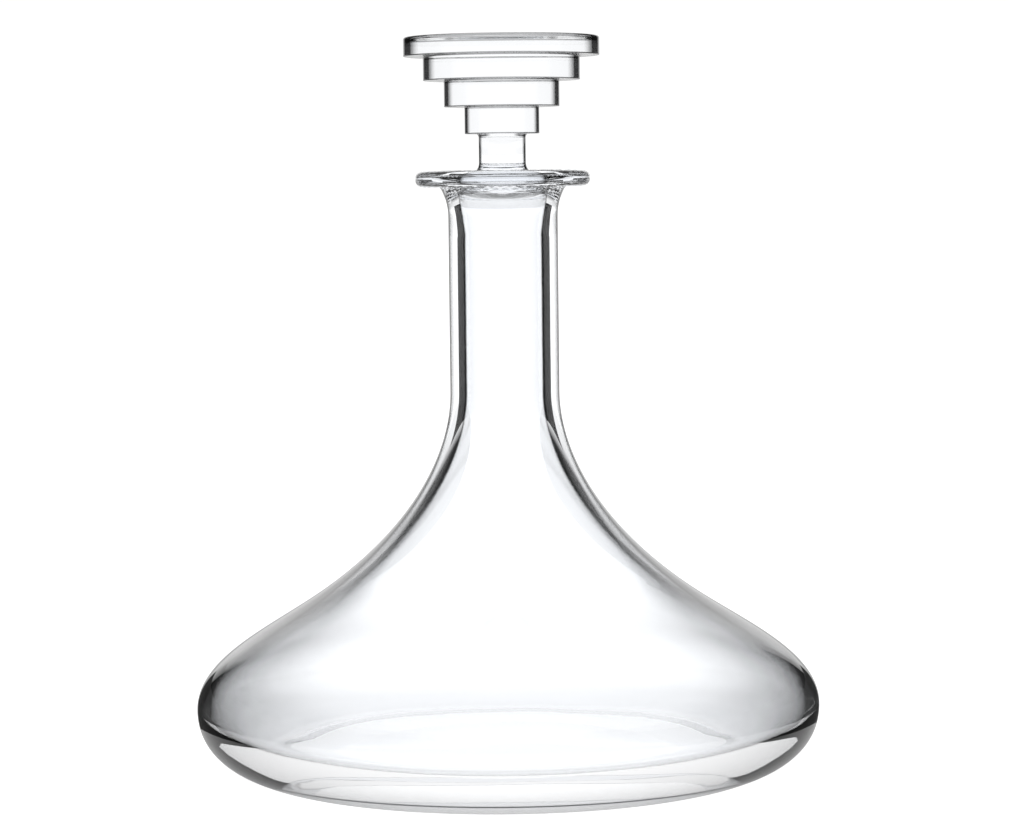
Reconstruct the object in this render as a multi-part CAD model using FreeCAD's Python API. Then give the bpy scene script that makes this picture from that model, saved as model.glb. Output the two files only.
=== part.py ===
import FreeCAD, Part
import math
import os

# Wine decanter of clear glass: a broad, low belly drawn out into a long thick neck, a wide flat lip
# round the mouth, and a solid stopper of four stacked discs on a short stem with a ground plug.
# Millimetres, +Z up. The origin is the middle of the flat base, and every piece is turned about Z.

# ---- vessel, outside ------------------------------------------------------------------------
belly_radius = 110.5          # widest ring
belly_height = 25.0           # height of the widest ring above the table
foot_radius = 82.0            # edge of the flat base
foot_turn = 6.0               # how far past the foot's edge the heel leaves the table level
neck_radius = 19.35
neck_foot_height = 136.0      # where the straight neck starts to spread into the shoulder
neck_top_height = 208.7       # underside of the lip
neck_flare_width = 2.9        # the neck spreads this much under the lip
neck_flare_height = 10.7      # over this much height

# ---- glass thickness ------------------------------------------------------------------------
base_thickness = 4.0
belly_wall = 3.6
neck_wall = 5.5
floor_edge_inset = 22.0       # flat inner floor ends this far inside the foot's edge

# ---- lip ------------------------------------------------------------------------------------
lip_radius = 30.8
lip_thickness = 5.4
lip_edge_rounding = 2.3

# ---- ground mouth and plug ------------------------------------------------------------------
mouth_radius = 16.8           # ground taper, at the lip's top face
mouth_depth = 23.1            # the taper runs this far down from the lip's top face
mouth_rounding = 1.5
ground_clearance = 0.12       # between the plug and the mouth, on the radius
plug_recess = 0.6             # the plug's top lies this far below the lip's top face
plug_depth = 7.0              # the plug's rim lies this far below the lip's top face
plug_dome = 1.4               # the rounded end drops this far below the rim
plug_rounding = 1.7

# ---- stopper above the lip -------------------------------------------------------------------
stem_radius = 8.3
stem_height = 13.6            # from the plug's top to the lowest disc
stem_foot_flare = 4.0         # radius of the hollow curve at the stem's foot
stem_head_flare = 1.5         # and under the lowest disc
flare_sweep = 60.0            # degrees of each hollow curve
arris = 0.35                  # rounding of the discs' polished edges
crown_rounding = 0.9          # and of the top disc's upper edge, which fingers meet
# name, radius, thickness and upper rounding of each disc, from the stem up
discs = [
    ("stopper_disc_fourth", 13.2, 9.5, arris),
    ("stopper_disc_third", 20.4, 9.3, arris),
    ("stopper_disc_second", 27.7, 8.5, arris),
    ("stopper_disc_top", 34.6, 6.8, crown_rounding),
]

# ---- the S-shaped shoulder, as shares of the span from neck foot to widest ring ---------------
sweep_mid_out = 0.494         # the bend's middle, outward from the neck
sweep_mid_up = 0.375          # and upward from the widest ring
sweep_mid_slope = 35.4        # degrees below level at the middle
neck_pull = 0.232             # handles of the upper curve, as shares of its chord
upper_mid_pull = 0.498
lower_mid_pull = 0.393        # handles of the lower curve
belly_pull = 0.277
heel_pull = 0.8               # how square the heel is under the widest ring

# ---- worked out from the sizes above ----------------------------------------------------------
bore_radius = neck_radius - neck_wall
lip_top_height = neck_top_height + lip_thickness
taper_foot_height = lip_top_height - mouth_depth
plug_top_height = lip_top_height - plug_recess
stem_top_height = plug_top_height + stem_height


def point(radius, height):
    return FreeCAD.Vector(radius, 0, height)


def line(start, end):
    return Part.makeLine(start, end)


def arc(start, middle, end):
    return Part.Arc(start, middle, end).toShape()


def bezier(*poles):
    curve = Part.BezierCurve()
    curve.setPoles(list(poles))
    return curve.toShape()


def turned(edges):
    """A solid of revolution about Z from the edges of half its outline."""
    face = Part.Face(Part.Wire(edges))
    return face.revolve(FreeCAD.Vector(0, 0, 0), FreeCAD.Vector(0, 0, 1), 360)


def shoulder(neck, belly):
    """Two curves from the foot of the neck, at radius neck, out to the widest ring, at belly."""
    top = point(neck, neck_foot_height)
    end = point(belly, belly_height)
    middle = point(
        neck + sweep_mid_out * (belly - neck),
        belly_height + sweep_mid_up * (neck_foot_height - belly_height),
    )
    slope = math.radians(sweep_mid_slope)
    along = point(math.cos(slope), -math.sin(slope))
    down = point(0, -1)
    upper_chord = top.distanceToPoint(middle)
    lower_chord = middle.distanceToPoint(end)
    upper = bezier(
        top,
        top + down * (neck_pull * upper_chord),
        middle - along * (upper_mid_pull * upper_chord),
        middle,
    )
    lower = bezier(
        middle,
        middle + along * (lower_mid_pull * lower_chord),
        end - down * (belly_pull * lower_chord),
        end,
    )
    return [upper, lower]


def heel(belly, flat_edge, level):
    """The curve from the widest ring in to the edge of a flat at the given level."""
    drop = belly_height - level
    return bezier(
        point(belly, belly_height),
        point(belly, belly_height - heel_pull * drop),
        point(flat_edge + foot_turn, level),
        point(flat_edge, level),
    )


def taper_radius(height):
    """Radius of the ground mouth at a height."""
    share = (height - taper_foot_height) / mouth_depth
    return bore_radius + share * (mouth_radius - bore_radius)


def decanter_body():
    flare_radius = (neck_flare_width ** 2 + neck_flare_height ** 2) / (2 * neck_flare_width)
    flare_start = neck_top_height - neck_flare_height
    half_sweep = 0.5 * math.asin(neck_flare_height / flare_radius)
    flare_middle = point(
        neck_radius + flare_radius * (1 - math.cos(half_sweep)),
        flare_start + flare_radius * math.sin(half_sweep),
    )
    rim_outer = point(neck_radius + neck_flare_width, neck_top_height)
    rim_inner = point(taper_radius(neck_top_height), neck_top_height)
    belly_inner = belly_radius - belly_wall
    floor_radius = foot_radius - floor_edge_inset
    outside = [
        line(point(0, 0), point(foot_radius, 0)),
        heel(belly_radius, foot_radius, 0),
        *shoulder(neck_radius, belly_radius),
        line(point(neck_radius, neck_foot_height), point(neck_radius, flare_start)),
        arc(point(neck_radius, flare_start), flare_middle, rim_outer),
    ]
    inside = [
        line(rim_outer, rim_inner),
        line(rim_inner, point(bore_radius, taper_foot_height)),
        line(point(bore_radius, taper_foot_height), point(bore_radius, neck_foot_height)),
        *shoulder(bore_radius, belly_inner),
        heel(belly_inner, floor_radius, base_thickness),
        line(point(floor_radius, base_thickness), point(0, base_thickness)),
        line(point(0, base_thickness), point(0, 0)),
    ]
    return turned(Part.__sortEdges__(outside + inside))


def neck_lip():
    top = lip_top_height
    under = neck_top_height
    edge = lip_edge_rounding
    round_top = mouth_rounding
    chord = edge * (1 - math.sqrt(0.5))
    mouth_chord = round_top * (1 - math.sqrt(0.5))
    bore_low = point(taper_radius(under), under)
    bore_high = point(taper_radius(top - round_top), top - round_top)
    mouth_edge = point(bore_high.x + round_top, top)
    return turned([
        line(bore_low, point(lip_radius - edge, under)),
        arc(
            point(lip_radius - edge, under),
            point(lip_radius - chord, under + chord),
            point(lip_radius, under + edge),
        ),
        line(point(lip_radius, under + edge), point(lip_radius, top - edge)),
        arc(
            point(lip_radius, top - edge),
            point(lip_radius - chord, top - chord),
            point(lip_radius - edge, top),
        ),
        line(point(lip_radius - edge, top), mouth_edge),
        arc(mouth_edge, point(bore_high.x + mouth_chord, top - mouth_chord), bore_high),
        line(bore_high, bore_low),
    ])


def stopper_disc(radius, thickness, upper_rounding, low):
    high = low + thickness
    lower_chord = arris * (1 - math.sqrt(0.5))
    upper_chord = upper_rounding * (1 - math.sqrt(0.5))
    return turned([
        line(point(0, low), point(radius - arris, low)),
        arc(
            point(radius - arris, low),
            point(radius - lower_chord, low + lower_chord),
            point(radius, low + arris),
        ),
        line(point(radius, low + arris), point(radius, high - upper_rounding)),
        arc(
            point(radius, high - upper_rounding),
            point(radius - upper_chord, high - upper_chord),
            point(radius - upper_rounding, high),
        ),
        line(point(radius - upper_rounding, high), point(0, high)),
        line(point(0, high), point(0, low)),
    ])


def flare_point(flare, angle, end_height, upward):
    """A point on a hollow curve that leaves the stem level with end_height less its own rise."""
    turn = math.radians(angle)
    rise = flare * math.sin(math.radians(flare_sweep))
    start = end_height + (rise if upward else -rise)
    step = -flare * math.sin(turn) if upward else flare * math.sin(turn)
    return point(stem_radius + flare * (1 - math.cos(turn)), start + step)


def stopper_stem():
    foot = [
        flare_point(stem_foot_flare, angle, plug_top_height, True)
        for angle in (flare_sweep, flare_sweep / 2, 0)
    ]
    head = [
        flare_point(stem_head_flare, angle, stem_top_height, False)
        for angle in (0, flare_sweep / 2, flare_sweep)
    ]
    axis_foot = point(0, plug_top_height)
    axis_head = point(0, stem_top_height)
    return turned([
        line(axis_foot, foot[0]),
        arc(*foot),
        line(foot[2], head[0]),
        arc(*head),
        line(head[2], axis_head),
        line(axis_head, axis_foot),
    ])


def stopper_plug():
    rim = lip_top_height - plug_depth
    side_low = rim + plug_rounding
    bottom_radius = taper_radius(side_low) - ground_clearance
    top_radius = taper_radius(plug_top_height) - ground_clearance
    dome_radius = bottom_radius - plug_rounding
    sphere = (dome_radius ** 2 + plug_dome ** 2) / (2 * plug_dome)
    half_turn = 0.5 * math.asin(dome_radius / sphere)
    tip = point(0, rim - plug_dome)
    dome_middle = point(
        sphere * math.sin(half_turn),
        tip.z + sphere * (1 - math.cos(half_turn)),
    )
    dome_edge = point(dome_radius, rim)
    turn_middle = point(
        dome_radius + plug_rounding * math.sqrt(0.5),
        side_low - plug_rounding * math.sqrt(0.5),
    )
    side_foot = point(bottom_radius, side_low)
    side_top = point(top_radius, plug_top_height)
    axis_top = point(0, plug_top_height)
    return turned([
        arc(tip, dome_middle, dome_edge),
        arc(dome_edge, turn_middle, side_foot),
        line(side_foot, side_top),
        line(side_top, axis_top),
        line(axis_top, tip),
    ])


def main():
    os.makedirs("parts", exist_ok=True)
    nodes = {
        "decanter_body": decanter_body(),
        "neck_lip": neck_lip(),
        "stopper_plug": stopper_plug(),
        "stopper_stem": stopper_stem(),
    }
    low = stem_top_height
    for name, radius, thickness, upper_rounding in discs:
        nodes[name] = stopper_disc(radius, thickness, upper_rounding, low)
        low += thickness
    for name, shape in nodes.items():
        box = shape.BoundBox
        print(
            f"{name}: {len(shape.Solids)} solid, valid {shape.isValid()}, "
            f"volume {shape.Volume / 1000:.1f} cm3, z {box.ZMin:.2f} to {box.ZMax:.2f}, "
            f"radius {box.XMax:.2f}"
        )
        shape.exportStep(f"parts/{name}.step")


main()
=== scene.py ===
import math

import bpy
from mathutils import Matrix, Vector


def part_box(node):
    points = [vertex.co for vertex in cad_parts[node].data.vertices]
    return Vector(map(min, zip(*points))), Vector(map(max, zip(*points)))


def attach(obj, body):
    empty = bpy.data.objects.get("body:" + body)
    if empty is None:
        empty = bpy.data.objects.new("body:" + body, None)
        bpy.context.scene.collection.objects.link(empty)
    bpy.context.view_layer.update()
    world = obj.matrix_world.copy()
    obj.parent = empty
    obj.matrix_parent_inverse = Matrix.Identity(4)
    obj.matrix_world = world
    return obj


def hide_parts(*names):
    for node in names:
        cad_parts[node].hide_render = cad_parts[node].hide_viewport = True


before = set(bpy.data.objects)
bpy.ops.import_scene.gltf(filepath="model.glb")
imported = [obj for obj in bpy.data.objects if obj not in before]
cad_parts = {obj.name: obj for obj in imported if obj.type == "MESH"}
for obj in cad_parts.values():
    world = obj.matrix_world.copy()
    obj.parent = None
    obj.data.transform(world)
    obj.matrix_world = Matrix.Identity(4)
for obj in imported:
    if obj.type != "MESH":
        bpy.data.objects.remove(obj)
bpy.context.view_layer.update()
MM = 0.001

# ---- Camera ----------------------------------------------------------------------------------
# A long lens on a low tripod, level with the underside of the lip and tipped down a little,
# so that the belly is seen slightly from above and the stopper slightly from below.
CAMERA_DISTANCE = 1.2026
CAMERA_SIDE = 0.0010
CAMERA_TILT = math.radians(3.861)
CAMERA_ROLL = math.radians(-0.63)
LENS_MM = 120.47
SENSOR_MM = 36.0
NEAREST_SEEN = 0.05
lip_low, lip_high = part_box("neck_lip")

camera_data = bpy.data.cameras.new("studio_camera")
camera_data.lens = LENS_MM
camera_data.sensor_width = SENSOR_MM
camera_data.clip_start = NEAREST_SEEN
camera = bpy.data.objects.new("studio_camera", camera_data)
bpy.context.scene.collection.objects.link(camera)
camera.matrix_world = (
    Matrix.Translation((CAMERA_SIDE, -CAMERA_DISTANCE, lip_low.z))
    @ Matrix.Rotation(math.pi / 2 - CAMERA_TILT, 4, "X")
    @ Matrix.Rotation(CAMERA_ROLL, 4, "Z")
)
bpy.context.scene.camera = camera
bpy.context.scene.view_settings.view_transform = "Standard"


# ---- Glass vessel ----------------------------------------------------------------------------
# One piece of clear crystal: a blown belly with a thick base, drawn up into a heavy neck, with a
# wide lip worked on while hot and fluted with a tool, and a mouth ground to a taper for the plug.
FOOT_RADIUS = 82.0 * MM
FOOT_TURN = 6.0 * MM            # how far past the foot's edge the heel leaves the table level
FOOT_BEVEL = 2.5 * MM           # width of the softened edge of the flat
FOOT_LIFT = 0.25 * MM           # and how far it rises
BELLY_HEIGHT = 25.0 * MM
NECK_RADIUS = 19.35 * MM
NECK_FOOT_HEIGHT = 136.0 * MM
NECK_FLARE_HEIGHT = 10.7 * MM
NECK_FLARE_WIDTH = 2.9 * MM
LIP_EDGE = 2.3 * MM
MOUTH_RADIUS = 16.8 * MM
MOUTH_DEPTH = 23.1 * MM
MOUTH_ROUNDING = 1.5 * MM
TAPER_TURN = 0.15 * MM          # half the height over which the ground taper meets the bore
BASE_THICKNESS = 4.0 * MM
BELLY_WALL = 3.6 * MM
NECK_WALL = 5.5 * MM
FLOOR_EDGE_INSET = 22.0 * MM    # the flat inner floor ends this far inside the foot's edge

# the S of the shoulder, as shares of its span, and the pulls of its curves, of their chords
SWEEP_MID_OUT = 0.494
SWEEP_MID_UP = 0.375
SWEEP_MID_SLOPE = math.radians(35.4)
NECK_PULL = 0.232
UPPER_MID_PULL = 0.498
LOWER_MID_PULL = 0.393
BELLY_PULL = 0.277
HEEL_PULL = 0.8
UPPER_STEPS = 36
LOWER_STEPS = 30
HEEL_STEPS_OUTSIDE = 60
HEEL_STEPS_INSIDE = 26
STEPS_ROUND = 288
SAME_PLACE = 1e-6               # points nearer than this are joined

# hand work in the glass, a grey-blue tint on the lip, and a painted shadow line round the foot
LIP_FLUTES = 40
FLUTE_DEPTH = 0.25 * MM
FLUTE_WANDER = 9.0              # radians that a flute strays for a full swing of the noise
LIP_TINT_SHARE = 0.15
WAVE_DEPTH = 0.25 * MM
WAVE_SIZE = 22.0                # scale of the noise, about one wave in 45 mm
WAVE_FADE = 24.0 * MM           # the waves grow to full depth over this much below the taper
FOOT_SHADOW_HEIGHT = 5.4 * MM
FOOT_SHADOW_SPREAD = 0.5 * MM     # the painted shadow line fades within this much above and below

body_low, body_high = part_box("decanter_body")
belly_radius = body_high.x
neck_top = body_high.z
lip_radius = lip_high.x
lip_top = lip_high.z
bore_radius = NECK_RADIUS - NECK_WALL


def straight(start, end, steps):
    """Points from start towards end, without the last."""
    return [start.lerp(end, step / steps) for step in range(steps)]


def bezier(start, pull, push, end, steps):
    """Points along a cubic curve, without the last."""
    points = []
    for step in range(steps):
        t = step / steps
        u = 1 - t
        points.append(u ** 3 * start + 3 * u * u * t * pull + 3 * u * t * t * push + t ** 3 * end)
    return points


def arc(centre, radius, first, last, steps):
    """Points round a centre from the first angle to the last, in degrees, without the last."""
    points = []
    for step in range(steps):
        angle = math.radians(first + (last - first) * step / steps)
        points.append(centre + radius * Vector((math.cos(angle), math.sin(angle))))
    return points


def shoulder(neck, belly):
    """From the foot of the neck out to the widest ring."""
    top = Vector((neck, NECK_FOOT_HEIGHT))
    end = Vector((belly, BELLY_HEIGHT))
    middle = Vector((
        neck + SWEEP_MID_OUT * (belly - neck),
        BELLY_HEIGHT + SWEEP_MID_UP * (NECK_FOOT_HEIGHT - BELLY_HEIGHT),
    ))
    along = Vector((math.cos(SWEEP_MID_SLOPE), -math.sin(SWEEP_MID_SLOPE)))
    down = Vector((0, -1))
    upper_chord = (middle - top).length
    lower_chord = (end - middle).length
    upper = bezier(
        top,
        top + down * NECK_PULL * upper_chord,
        middle - along * UPPER_MID_PULL * upper_chord,
        middle,
        UPPER_STEPS,
    )
    lower = bezier(
        middle,
        middle + along * LOWER_MID_PULL * lower_chord,
        end - down * BELLY_PULL * lower_chord,
        end,
        LOWER_STEPS,
    )
    return upper + lower


def heel(belly, flat_edge, level, steps):
    """From the widest ring in to the edge of a flat at that level."""
    drop = BELLY_HEIGHT - level
    return bezier(
        Vector((belly, BELLY_HEIGHT)),
        Vector((belly, BELLY_HEIGHT - HEEL_PULL * drop)),
        Vector((flat_edge + FOOT_TURN, level)),
        Vector((flat_edge, level)),
        steps,
    )


def taper_radius(height):
    """Radius of the ground mouth at a height."""
    share = (height - (lip_top - MOUTH_DEPTH)) / MOUTH_DEPTH
    return bore_radius + share * (MOUTH_RADIUS - bore_radius)


# what an outline carries on to the turned surface: depth of waves and flutes, share of lip tint and
# painted arris shade, share of a painted shadow line shown only where seen edge on, and steepness
LATHE_VALUES = ("wave", "flute", "lip_tint_and_arris_shade", "line", "steep")


def steepness(points):
    """How near to upright the outline is at each point: 0 on a level face, 1 from 30 degrees up."""
    found = []
    for i in range(len(points)):
        along = points[min(i + 1, len(points) - 1)] - points[max(i - 1, 0)]
        found.append(min(1.0, 2 * abs(along.y) / max(along.length, SAME_PLACE)))
    return found


def outline_object(name, points, finish):
    """A line of vertices in the XZ plane, with each of the lathe's values at every vertex."""
    mesh = bpy.data.meshes.new(name)
    mesh.from_pydata(
        [(p.x, 0, p.y) for p in points],
        [(i, i + 1) for i in range(len(points) - 1)],
        [],
    )
    finish = {"steep": steepness(points), **finish}
    for label in LATHE_VALUES:
        layer = mesh.attributes.new(label, "FLOAT", "POINT")
        layer.data.foreach_set("value", finish.get(label, [0.0] * len(points)))
    made = bpy.data.objects.new(name, mesh)
    bpy.context.scene.collection.objects.link(made)
    return made


def feed(tree, socket, value):
    """Links another node's output to a socket, or sets the socket to a plain value."""
    if isinstance(value, bpy.types.NodeSocket):
        tree.links.new(value, socket)
    else:
        socket.default_value = value


def add_maths(tree, operation, *values, clamp=False):
    """A Math node on plain values or other nodes' outputs."""
    made = tree.nodes.new("ShaderNodeMath")
    made.operation = operation
    made.use_clamp = clamp
    for socket, value in zip(made.inputs, values):
        feed(tree, socket, value)
    return made.outputs[0]


def lathe_tree():
    """Geometry Nodes that turn an outline round Z, with waves and radial flutes along the normal."""
    tree = bpy.data.node_groups.new("turn_on_the_lathe", "GeometryNodeTree")
    for label, kind in (
        ("Outline", "NodeSocketGeometry"),
        ("Steps round", "NodeSocketInt"),
        ("Wave size", "NodeSocketFloat"),
        ("Flutes", "NodeSocketFloat"),
        ("Glass", "NodeSocketMaterial"),
    ):
        tree.interface.new_socket(label, in_out="INPUT", socket_type=kind)
    tree.interface.new_socket("Turned", in_out="OUTPUT", socket_type="NodeSocketGeometry")
    link = tree.links.new

    def node(kind, **settings):
        made = tree.nodes.new(kind)
        for key, value in settings.items():
            setattr(made, key, value)
        return made

    def maths(operation, *values):
        return add_maths(tree, operation, *values)

    asked = node("NodeGroupInput").outputs
    count = node("GeometryNodeAttributeDomainSize", component="MESH")
    link(asked["Outline"], count.inputs["Geometry"])
    points = count.outputs["Point Count"]

    # a flat grid a metre across: X runs along the outline, Y round the turn
    grid = node("GeometryNodeMeshGrid")
    grid.inputs["Size X"].default_value = 1
    grid.inputs["Size Y"].default_value = 1
    link(points, grid.inputs["Vertices X"])
    link(maths("ADD", asked["Steps round"], 1), grid.inputs["Vertices Y"])
    place = node("ShaderNodeSeparateXYZ")
    link(node("GeometryNodeInputPosition").outputs[0], place.inputs[0])
    along = maths("MULTIPLY", maths("ADD", place.outputs["X"], 0.5), maths("SUBTRACT", points, 1))
    index = maths("ROUND", along)
    angle = maths("MULTIPLY", maths("ADD", place.outputs["Y"], 0.5), 2 * math.pi)

    def from_outline(value, kind):
        made = node("GeometryNodeSampleIndex", data_type=kind, domain="POINT")
        link(asked["Outline"], made.inputs["Geometry"])
        link(value, made.inputs["Value"])
        link(index, made.inputs["Index"])
        return made.outputs[0]

    def named(label):
        made = node("GeometryNodeInputNamedAttribute", data_type="FLOAT")
        made.inputs["Name"].default_value = label
        return made.outputs["Attribute"]

    position = node("GeometryNodeInputPosition").outputs[0]
    outline = node("ShaderNodeSeparateXYZ")
    link(from_outline(position, "FLOAT_VECTOR"), outline.inputs[0])
    turned = node("ShaderNodeCombineXYZ")
    link(maths("MULTIPLY", outline.outputs["X"], maths("COSINE", angle)), turned.inputs["X"])
    link(maths("MULTIPLY", outline.outputs["X"], maths("SINE", angle)), turned.inputs["Y"])
    link(outline.outputs["Z"], turned.inputs["Z"])

    # the outline's values go on to the grid before it is bent round and its edges are joined
    kept = grid.outputs["Mesh"]
    carried = {label: from_outline(named(label), "FLOAT") for label in LATHE_VALUES}
    carried["angle"] = angle
    for label, value in carried.items():
        keep = node("GeometryNodeStoreNamedAttribute", data_type="FLOAT", domain="POINT")
        keep.inputs["Name"].default_value = label
        link(kept, keep.inputs["Geometry"])
        link(value, keep.inputs["Value"])
        kept = keep.outputs["Geometry"]
    outward = node("GeometryNodeFlipFaces")
    link(kept, outward.inputs["Mesh"])
    shape = node("GeometryNodeSetPosition")
    link(outward.outputs["Mesh"], shape.inputs["Geometry"])
    link(turned.outputs[0], shape.inputs["Position"])
    closed = node("GeometryNodeMergeByDistance")
    closed.inputs["Distance"].default_value = SAME_PLACE
    link(shape.outputs["Geometry"], closed.inputs["Geometry"])

    noise = node("ShaderNodeTexNoise", noise_dimensions="3D")
    link(node("GeometryNodeInputPosition").outputs[0], noise.inputs["Vector"])
    link(asked["Wave size"], noise.inputs["Scale"])
    noise.inputs["Detail"].default_value = 1.0
    ripple = maths("SUBTRACT", noise.outputs["Fac"], 0.5)
    turn = maths("MULTIPLY", named("angle"), asked["Flutes"])
    wander = maths("ADD", turn, maths("MULTIPLY", ripple, FLUTE_WANDER))
    flute = maths("MULTIPLY", maths("COSINE", wander), named("flute"))
    depth = maths("ADD", maths("MULTIPLY", ripple, named("wave")), flute)
    push = node("ShaderNodeVectorMath", operation="SCALE")
    link(node("GeometryNodeInputNormal").outputs[0], push.inputs[0])
    link(depth, push.inputs["Scale"])
    waved = node("GeometryNodeSetPosition")
    link(closed.outputs["Geometry"], waved.inputs["Geometry"])
    link(push.outputs[0], waved.inputs["Offset"])

    smooth = node("GeometryNodeSetShadeSmooth")
    link(waved.outputs["Geometry"], smooth.inputs["Geometry"])
    real = node("GeometryNodeRealizeInstances")
    link(smooth.outputs["Geometry"], real.inputs["Geometry"])
    dressed = node("GeometryNodeSetMaterial")
    link(real.outputs["Geometry"], dressed.inputs["Geometry"])
    link(asked["Glass"], dressed.inputs["Material"])
    link(dressed.outputs["Geometry"], node("NodeGroupOutput").inputs["Turned"])
    return tree


turn_on_the_lathe = lathe_tree()


def turned_piece(name, points, glass, finish, wave_size=0.0, flutes=0):
    """Turns an outline on the lathe tree and returns it as a plain mesh object."""
    outline = outline_object(name + "_outline", points, finish)
    turning = outline.modifiers.new("turning", "NODES")
    turning.node_group = turn_on_the_lathe
    wanted = {
        "Steps round": STEPS_ROUND,
        "Wave size": wave_size,
        "Flutes": float(flutes),
        "Glass": glass,
    }
    for socket in turn_on_the_lathe.interface.items_tree:
        if socket.name in wanted:
            turning[socket.identifier] = wanted[socket.name]
    bpy.context.view_layer.update()
    evaluated = outline.evaluated_get(bpy.context.evaluated_depsgraph_get())
    mesh = bpy.data.meshes.new_from_object(evaluated)
    mesh.name = name
    piece = bpy.data.objects.new(name, mesh)
    bpy.context.scene.collection.objects.link(piece)
    bpy.data.objects.remove(outline)
    return piece


def add_ramp(tree, factor, stops):
    """A grey ramp from (place, value) pairs, read at factor."""
    ramp = tree.nodes.new("ShaderNodeValToRGB")
    points = ramp.color_ramp.elements
    while len(points) < len(stops):
        points.new(0.5)
    for element, (place, value) in zip(points, stops):
        element.position = place
        element.color = (value, value, value, 1)
    feed(tree, ramp.inputs["Fac"], factor)
    return ramp.outputs["Color"]


def add_mix(tree, share, first, second, blend="MIX"):
    """A colour Mix node from first to second."""
    mix = tree.nodes.new("ShaderNodeMix")
    mix.data_type = "RGBA"
    mix.blend_type = blend
    feed(tree, mix.inputs["Factor"], share)
    feed(tree, mix.inputs["A"], first)
    feed(tree, mix.inputs["B"], second)
    return mix.outputs["Result"]


def add_span(tree, value, low, high, kind="LINEAR"):
    """0 below low, 1 above high, and between them a straight or smooth rise."""
    span = tree.nodes.new("ShaderNodeMapRange")
    span.interpolation_type = kind
    span.inputs["From Min"].default_value = low
    span.inputs["From Max"].default_value = high
    feed(tree, span.inputs["Value"], value)
    return span.outputs["Result"]


def add_attribute(tree, label):
    """A value that the lathe left on the surface."""
    made = tree.nodes.new("ShaderNodeAttribute")
    made.attribute_name = label
    return made.outputs["Fac"]


GLASS_INDEX = 1.52
PLAIN_TONE = (0.99, 0.99, 0.99, 1)
CRYSTAL_TINT = (0.975, 0.985, 1.0, 1)
# near-black tone of the painted shadow line round the foot
FOOT_SHADOW_TONE = (0.002, 0.002, 0.003, 1)
FOOT_SHADOW_SHOWS = (0.26, 0.34)       # how far edge on the painted shadow line round the foot starts to show, and is whole


def glass_with_painted_shade(name, stops, tint_and_shade_tone, low_stops=None, fade=None):
    """Clear crystal with painted shade where it is seen edge on, and more of it low down."""
    material = bpy.data.materials.new(name)
    material.use_nodes = True
    tree = material.node_tree
    glass = tree.nodes["Principled BSDF"]
    glass.inputs["Transmission Weight"].default_value = 1.0
    glass.inputs["IOR"].default_value = GLASS_INDEX
    glass.inputs["Roughness"].default_value = 0.0
    weight = tree.nodes.new("ShaderNodeLayerWeight")
    weight.inputs["Blend"].default_value = 0.5
    edge_on = weight.outputs["Facing"]
    tone = add_ramp(tree, edge_on, stops)
    if low_stops:
        place = tree.nodes.new("ShaderNodeTexCoord")
        axes = tree.nodes.new("ShaderNodeSeparateXYZ")
        tree.links.new(place.outputs["Object"], axes.inputs[0])
        height = add_span(tree, axes.outputs["Z"], *fade, "SMOOTHSTEP")
        tone = add_mix(tree, height, add_ramp(tree, edge_on, low_stops), tone)
    tone = add_mix(tree, add_attribute(tree, "steep"), PLAIN_TONE, tone)
    # painted shadow line round the foot, shown only where the glass is seen edge on
    line = add_maths(
        tree, "MULTIPLY", add_attribute(tree, "line"), add_span(tree, edge_on, *FOOT_SHADOW_SHOWS)
    )
    # multiplies in the painted shadow line, the marked tone (the lip's grey-blue tint on the vessel,
    # painted arris shade on the stopper) and the crystal's own tint
    for share, colour in (
        (line, FOOT_SHADOW_TONE),
        (add_attribute(tree, "lip_tint_and_arris_shade"), tint_and_shade_tone),
        (1.0, CRYSTAL_TINT),
    ):
        tone = add_mix(tree, share, tone, colour, "MULTIPLY")
    tree.links.new(tone, glass.inputs["Base Color"])
    return material


# painted shade on the glass against how far edge on it is seen: in the neck and shoulder, and in the
# belly
VESSEL_EDGE_SHADE = ((0.68, 0.99), (0.78, 0.02), (0.84, 0.001))
BELLY_EDGE_SHADE = ((0.22, 0.99), (0.36, 0.84), (0.50, 0.66), (0.64, 0.50), (0.80, 0.25), (0.90, 0.01))
BELLY_EDGE_SHADE_HEIGHTS = (30 * MM, 66 * MM)
# a grey-blue tint on the lip
LIP_TONE = (0.25, 0.32, 0.45, 1)
vessel_glass = glass_with_painted_shade("vessel_glass", VESSEL_EDGE_SHADE, LIP_TONE, BELLY_EDGE_SHADE, BELLY_EDGE_SHADE_HEIGHTS)

floor_radius = FOOT_RADIUS - FLOOR_EDGE_INSET
belly_inner = belly_radius - BELLY_WALL
flare_curve = (NECK_FLARE_WIDTH ** 2 + NECK_FLARE_HEIGHT ** 2) / (2 * NECK_FLARE_WIDTH)
flare_sweep = math.degrees(math.asin(NECK_FLARE_HEIGHT / flare_curve))
flare_foot = neck_top - NECK_FLARE_HEIGHT
flare_radius = NECK_RADIUS + NECK_FLARE_WIDTH
lip_flat = lip_radius - LIP_EDGE
mouth_bottom = lip_top - MOUTH_ROUNDING
mouth_edge = taper_radius(mouth_bottom) + MOUTH_ROUNDING
taper_foot = lip_top - MOUTH_DEPTH
taper_end = Vector((taper_radius(taper_foot + TAPER_TURN), taper_foot + TAPER_TURN))
bevel_edge = Vector((FOOT_RADIUS - FOOT_BEVEL, 0))
foot_edge = Vector((FOOT_RADIUS, FOOT_LIFT))
floor_edge = Vector((floor_radius, BASE_THICKNESS))
floor_middle = Vector((0, BASE_THICKNESS))

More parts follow.
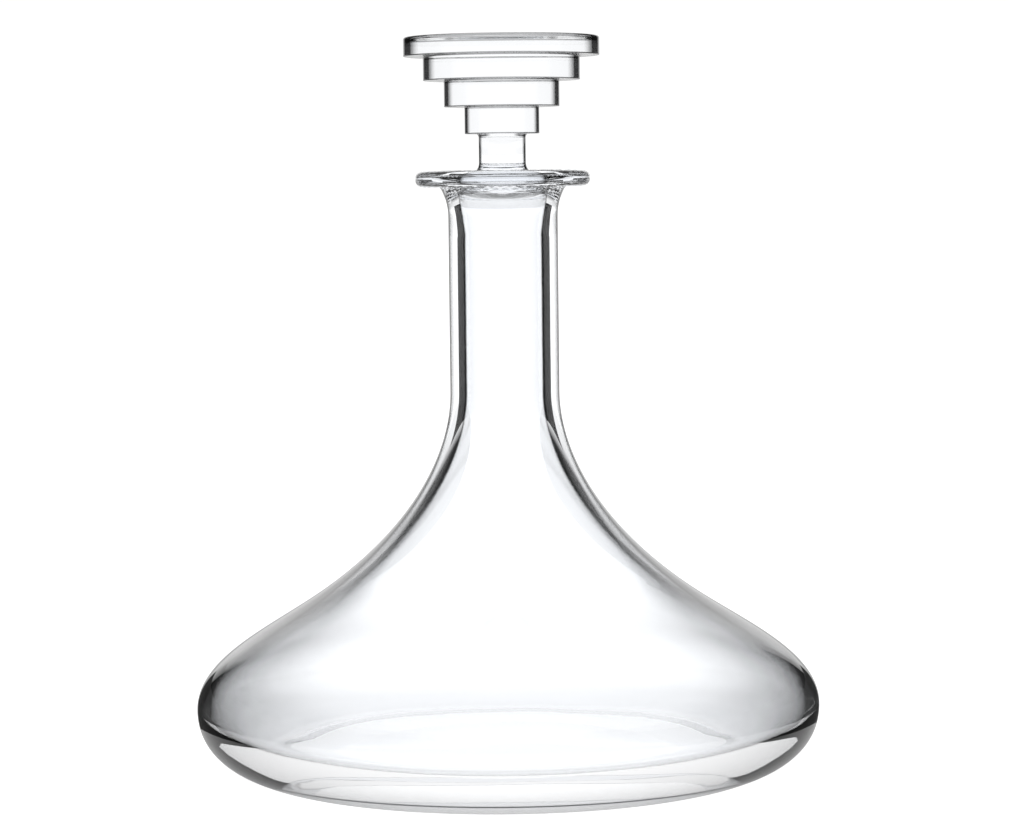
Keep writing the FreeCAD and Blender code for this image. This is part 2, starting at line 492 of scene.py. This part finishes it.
outside = [
    *straight(Vector((0, 0)), bevel_edge, 12),
    *straight(bevel_edge, foot_edge, 3),
    foot_edge,
    *reversed(heel(belly_radius, FOOT_RADIUS, FOOT_LIFT, HEEL_STEPS_OUTSIDE)[1:]),
    Vector((belly_radius, BELLY_HEIGHT)),
    *reversed(shoulder(NECK_RADIUS, belly_radius)),
    *straight(Vector((NECK_RADIUS, NECK_FOOT_HEIGHT)), Vector((NECK_RADIUS, flare_foot)), 12)[1:],
    *arc(Vector((NECK_RADIUS + flare_curve, flare_foot)), flare_curve, 180, 180 - flare_sweep, 10),
    *straight(Vector((flare_radius, neck_top)), Vector((lip_flat, neck_top)), 8),
    *arc(Vector((lip_flat, neck_top + LIP_EDGE)), LIP_EDGE, -90, 0, 8),
    *arc(Vector((lip_flat, lip_top - LIP_EDGE)), LIP_EDGE, 0, 90, 8),
    *straight(Vector((lip_flat, lip_top)), Vector((mouth_edge, lip_top)), 8),
    *arc(Vector((mouth_edge, mouth_bottom)), MOUTH_ROUNDING, 90, 180, 8),
]
inside = [
    *straight(Vector((taper_radius(mouth_bottom), mouth_bottom)), taper_end, 10),
    taper_end,
    *straight(
        Vector((bore_radius, taper_foot - TAPER_TURN)), Vector((bore_radius, NECK_FOOT_HEIGHT)), 10
    ),
    *shoulder(bore_radius, belly_inner),
    *heel(belly_inner, floor_radius, BASE_THICKNESS, HEEL_STEPS_INSIDE),
    *straight(floor_edge, floor_middle, 12),
    floor_middle,
]
profile = outside + inside


def on_lip(p):
    return p.y >= neck_top and p.x > flare_radius


# where the painted shadow line round the foot is put
def on_foot_shadow(p):
    return abs(p.y - FOOT_SHADOW_HEIGHT) < FOOT_SHADOW_SPREAD and p.x > FOOT_RADIUS


def wave_depth(p):
    return WAVE_DEPTH * min(1.0, max(0.0, (taper_foot - p.y) / WAVE_FADE))


plain_inside = [0.0] * len(inside)
# the lip's grey-blue tint, and the painted shadow line round the foot
vessel_finish = {
    "wave": [0.0] * len(outside) + [wave_depth(p) for p in inside],
    "flute": [FLUTE_DEPTH * (on_lip(p) and p.x < lip_flat) for p in outside] + plain_inside,
    "lip_tint_and_arris_shade": [LIP_TINT_SHARE * on_lip(p) for p in outside] + plain_inside,
    "line": [float(on_foot_shadow(p)) for p in outside] + plain_inside,
    "steep": [0.0 if on_lip(p) else steep for p, steep in zip(profile, steepness(profile))],
}
vessel = turned_piece(
    "decanter_vessel", profile, vessel_glass, vessel_finish, WAVE_SIZE, LIP_FLUTES
)
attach(vessel, "vessel")
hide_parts("decanter_body", "neck_lip")


# ---- Stopper ---------------------------------------------------------------------------------
# A solid piece of the same crystal, cut on a wheel into four discs that shrink towards the stem,
# with the arrises just broken and polished, a waisted stem and a ground plug with a domed end.
PLUG_DEPTH = 7.0 * MM
PLUG_ROUNDING = 1.7 * MM
PLUG_CORNER_START = -80         # degrees; the rounding takes over from the dome here
PLUG_TOP_INSET = 0.3 * MM
GROUND_CLEARANCE = 0.12 * MM
STEM_RADIUS = 8.3 * MM
STEM_FOOT_FLARE = 4.0 * MM
STEM_HEAD_FLARE = 1.5 * MM
FLARE_SWEEP = 60                # degrees of each hollow curve on the stem
ARRIS = 0.35 * MM
CROWN_ROUNDING = 0.9 * MM
ARRIS_STEPS = 6
ARRIS_SHADE_FADE = 0.08 * MM           # the arrises' painted shade ends within this much of their edges
# painted shade on the arrises: how much, and how dark
ARRIS_SHADE_SHARE = 0.85
ARRIS_SHADE_TONE = (0.008, 0.009, 0.011, 1)
# painted shade on the stopper's glass against how far edge on it is seen
STOPPER_EDGE_SHADE = ((0.46, 0.99), (0.56, 0.20), (0.62, 0.002))
# rounding of each disc's upper edge, from the stem up
DISC_UPPER_EDGES = {
    "stopper_disc_fourth": ARRIS,
    "stopper_disc_third": ARRIS,
    "stopper_disc_second": ARRIS,
    "stopper_disc_top": CROWN_ROUNDING,
}
plug_low, plug_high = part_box("stopper_plug")
stem_low, stem_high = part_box("stopper_stem")
rim = lip_top - PLUG_DEPTH
side_low = rim + PLUG_ROUNDING
plug_radius = taper_radius(side_low) - GROUND_CLEARANCE
dome_radius = plug_radius - PLUG_ROUNDING
dome_drop = rim - plug_low.z
dome_sphere = (dome_radius ** 2 + dome_drop ** 2) / (2 * dome_drop)
dome_turn = math.degrees(math.asin(dome_radius / dome_sphere))
flare_rise = math.sin(math.radians(FLARE_SWEEP))
stem_foot = Vector((STEM_RADIUS + STEM_FOOT_FLARE, plug_high.z + STEM_FOOT_FLARE * flare_rise))
stem_head = Vector((STEM_RADIUS + STEM_HEAD_FLARE, stem_high.z - STEM_HEAD_FLARE * flare_rise))
plug_shoulder = Vector((plug_high.x - PLUG_TOP_INSET, plug_high.z))
stem_edge = Vector((STEM_RADIUS + STEM_FOOT_FLARE / 2, plug_high.z))

stopper_outline = [
    *arc(Vector((0, plug_low.z + dome_sphere)), dome_sphere, -90, -90 + dome_turn, 14),
    *arc(Vector((dome_radius, side_low)), PLUG_ROUNDING, PLUG_CORNER_START, 0, 8),
    *straight(Vector((plug_radius, side_low)), plug_shoulder, 6),
    *straight(plug_shoulder, stem_edge, 5),
    *reversed(arc(stem_foot, STEM_FOOT_FLARE, 180, 180 + FLARE_SWEEP, 8)),
    *arc(stem_head, STEM_HEAD_FLARE, 180, 180 - FLARE_SWEEP, 6),
]
arrises = []
for name, over in DISC_UPPER_EDGES.items():
    low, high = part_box(name)
    radius = high.x
    inner = stopper_outline[-1].x
    stopper_outline += straight(Vector((inner, low.z)), Vector((radius - ARRIS, low.z)), 4)
    stopper_outline.append(Vector((radius - ARRIS - ARRIS_SHADE_FADE, low.z)))
    arrises.append(len(stopper_outline))
    stopper_outline += arc(Vector((radius - ARRIS, low.z + ARRIS)), ARRIS, -90, 0, ARRIS_STEPS)
    stopper_outline.append(Vector((radius, low.z + ARRIS)))
    side_start = Vector((radius, low.z + ARRIS + ARRIS_SHADE_FADE))
    side_end = Vector((radius, high.z - over - ARRIS_SHADE_FADE))
    stopper_outline += straight(side_start, side_end, 4)
    stopper_outline.append(side_end)
    arrises.append(len(stopper_outline))
    stopper_outline += arc(Vector((radius - over, high.z - over)), over, 0, 90, ARRIS_STEPS)
    stopper_outline.append(Vector((radius - over, high.z)))
    stopper_outline.append(Vector((radius - over - ARRIS_SHADE_FADE, high.z)))
crown_middle = Vector((0, high.z))
stopper_outline += straight(stopper_outline[-1], crown_middle, 8)[1:]
stopper_outline.append(crown_middle)

# painted shade on the arrises
stopper_arris_shade = [0.0] * len(stopper_outline)
for first in arrises:
    for i in range(first, first + ARRIS_STEPS + 1):
        stopper_arris_shade[i] = ARRIS_SHADE_SHARE
stopper_glass = glass_with_painted_shade("stopper_glass", STOPPER_EDGE_SHADE, ARRIS_SHADE_TONE)
stopper = turned_piece(
    "decanter_stopper", stopper_outline, stopper_glass, {"lip_tint_and_arris_shade": stopper_arris_shade}
)
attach(stopper, "stopper")
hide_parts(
    "stopper_plug", "stopper_stem", "stopper_disc_fourth",
    "stopper_disc_third", "stopper_disc_second", "stopper_disc_top",
)


# ---- White table -----------------------------------------------------------------------------
# A plain white table, lit from within so that it is even all the way to the horizon. It stands a
# hair above the underside of the glass, so that no light is caught in the base, and it is dimmer
# where the outside of the glass mirrors it.
TABLE_REACH = 60.0              # metres from the middle to each edge
TABLE_RISE = 0.05 * MM
TABLE_MIRRORED = 0.35
TABLE_GREY = 0.35
TABLE_ROUGHNESS = 0.9


def mirrored_light(tree):
    """1 for light mirrored off the outside of the glass, and for light that meets none, else 0.

    What the camera sees directly counts as 0.
    """
    path = tree.nodes.new("ShaderNodeLightPath").outputs
    not_through = add_maths(tree, "LESS_THAN", path["Transmission Depth"], 0.5)
    return add_maths(tree, "SUBTRACT", not_through, path["Is Camera Ray"], clamp=True)


def dull_paint(name, grey, roughness):
    """A paint with no gloss."""
    material = bpy.data.materials.new(name)
    material.use_nodes = True
    paint = material.node_tree.nodes["Principled BSDF"]
    paint.inputs["Base Color"].default_value = (grey, grey, grey, 1)
    paint.inputs["Roughness"].default_value = roughness
    paint.inputs["Specular IOR Level"].default_value = 0.0
    return material


floor_paint = dull_paint("white_table", TABLE_GREY, TABLE_ROUGHNESS)
floor_tree = floor_paint.node_tree
paint = floor_tree.nodes["Principled BSDF"]
paint.inputs["Emission Color"].default_value = (1, 1, 1, 1)
dimmed = floor_tree.nodes.new("ShaderNodeMapRange")
dimmed.inputs["To Min"].default_value = 1.0
dimmed.inputs["To Max"].default_value = TABLE_MIRRORED
floor_tree.links.new(mirrored_light(floor_tree), dimmed.inputs["Value"])
floor_tree.links.new(dimmed.outputs["Result"], paint.inputs["Emission Strength"])
floor_mesh = bpy.data.meshes.new("studio_floor")
floor_mesh.from_pydata(
    [(x * TABLE_REACH, y * TABLE_REACH, TABLE_RISE) for x, y in ((-1, -1), (1, -1), (1, 1), (-1, 1))],
    [],
    [(0, 1, 2, 3)],
)
floor_mesh.materials.append(floor_paint)
floor = bpy.data.objects.new("studio_floor", floor_mesh)
bpy.context.scene.collection.objects.link(floor)


# ---- Dark cards ------------------------------------------------------------------------------
# Two curved cards stand round the decanter, open at the back, and give clear glass its dark lines.
# Only light that the glass has turned back or mirrored meets them, so none shows through it.
CARD_STEP = 4                   # degrees between a card's folds
CARD_ROUGHNESS = 1.0
# name, tone, distance from the axis, height, first and last bearing clockwise from the back
CARDS = (
    ("far", 0.02, 0.5, 0.206, 33, 327),
    ("near", 0.12, 0.155, 0.045, 58, 302),
)


def only_turned_back(material):
    """Hides a material from all light but what the glass has turned back or mirrored."""
    tree = material.node_tree
    path = tree.nodes.new("ShaderNodeLightPath").outputs
    turned_back = add_maths(tree, "GREATER_THAN", path["Glossy Depth"], 0.5)
    clear = tree.nodes.new("ShaderNodeBsdfTransparent")
    either = tree.nodes.new("ShaderNodeMixShader")
    tree.links.new(turned_back, either.inputs["Fac"])
    tree.links.new(clear.outputs[0], either.inputs[1])
    tree.links.new(tree.nodes["Principled BSDF"].outputs[0], either.inputs[2])
    tree.links.new(either.outputs[0], tree.nodes["Material Output"].inputs["Surface"])


for label, tone, distance, card_height, first, last in CARDS:
    angles = [math.radians(bearing) for bearing in range(first, last + 1, CARD_STEP)]
    folds = [(distance * math.sin(a), distance * math.cos(a)) for a in angles]
    mesh = bpy.data.meshes.new("black_card_" + label)
    mesh.from_pydata(
        [(x, y, z) for x, y in folds for z in (0.0, card_height)],
        [],
        [(2 * i, 2 * i + 2, 2 * i + 3, 2 * i + 1) for i in range(len(folds) - 1)],
    )
    card_paint = dull_paint(mesh.name, tone, CARD_ROUGHNESS)
    only_turned_back(card_paint)
    mesh.materials.append(card_paint)
    card = bpy.data.objects.new(mesh.name, mesh)
    bpy.context.scene.collection.objects.link(card)
    card.visible_camera = False
    card.visible_diffuse = False
    card.visible_shadow = False


# ---- Light tent ------------------------------------------------------------------------------
# A white tent, pale grey at the camera's end, with black cloth up both sides. A band low down stays
# white all round, except where the outside of the glass mirrors it. The camera sees plain white.
TENT_STRENGTH = 1.05
FRONT_TONE = 0.8
SIDE_TONE = 0.03
SIDE_FROM = 16                  # degrees from the back at which the black cloth starts
SIDE_SOFT = 10                  # over this many degrees
SIDE_TO = 100                   # and at which it ends
SIDE_END_SOFT = 12              # over this many degrees
LEVEL_BAND = 7                  # degrees up to which the low band is white
LEVEL_SOFT = 8                  # and over how many more it ends
TOP_FROM = 30                   # degrees up from which the top turns white
TOP_TO = 48                     # and is all white


def rise(degrees):
    """Height on the unit sphere at an angle above the horizon."""
    return math.sin(math.radians(degrees))


world = bpy.data.worlds.new("light_tent")
world.use_nodes = True
tent = world.node_tree
background = tent.nodes["Background"]
background.inputs["Strength"].default_value = TENT_STRENGTH
direction = tent.nodes.new("ShaderNodeTexCoord")
axes = tent.nodes.new("ShaderNodeSeparateXYZ")
tent.links.new(direction.outputs["Generated"], axes.inputs[0])
bearing = add_maths(tent, "ARCTAN2", axes.outputs["X"], axes.outputs["Y"])
off_back = add_maths(tent, "MULTIPLY", add_maths(tent, "ABSOLUTE", bearing), 1 / math.pi)
walls = add_ramp(tent, off_back, [
    (0, 1),
    (SIDE_FROM / 180, 1),
    ((SIDE_FROM + SIDE_SOFT) / 180, SIDE_TONE),
    (SIDE_TO / 180, SIDE_TONE),
    ((SIDE_TO + SIDE_END_SOFT) / 180, FRONT_TONE),
    (1, FRONT_TONE),
])
white_heights = add_ramp(tent, axes.outputs["Z"], [
    (rise(LEVEL_BAND), 1),
    (rise(LEVEL_BAND + LEVEL_SOFT), 0),
    (rise(TOP_FROM), 0),
    (rise(TOP_TO), 1),
])
overhead = add_ramp(tent, axes.outputs["Z"], [(rise(TOP_FROM), 0), (rise(TOP_TO), 1)])
not_mirrored = add_maths(tent, "SUBTRACT", white_heights, mirrored_light(tent), clamp=True)
whitened = add_maths(tent, "MAXIMUM", not_mirrored, overhead)
cloth = add_mix(tent, whitened, walls, (1, 1, 1, 1))
seen = tent.nodes.new("ShaderNodeLightPath").outputs["Is Camera Ray"]
tent.links.new(add_mix(tent, seen, cloth, (1, 1, 1, 1)), background.inputs["Color"])
bpy.context.scene.world = world
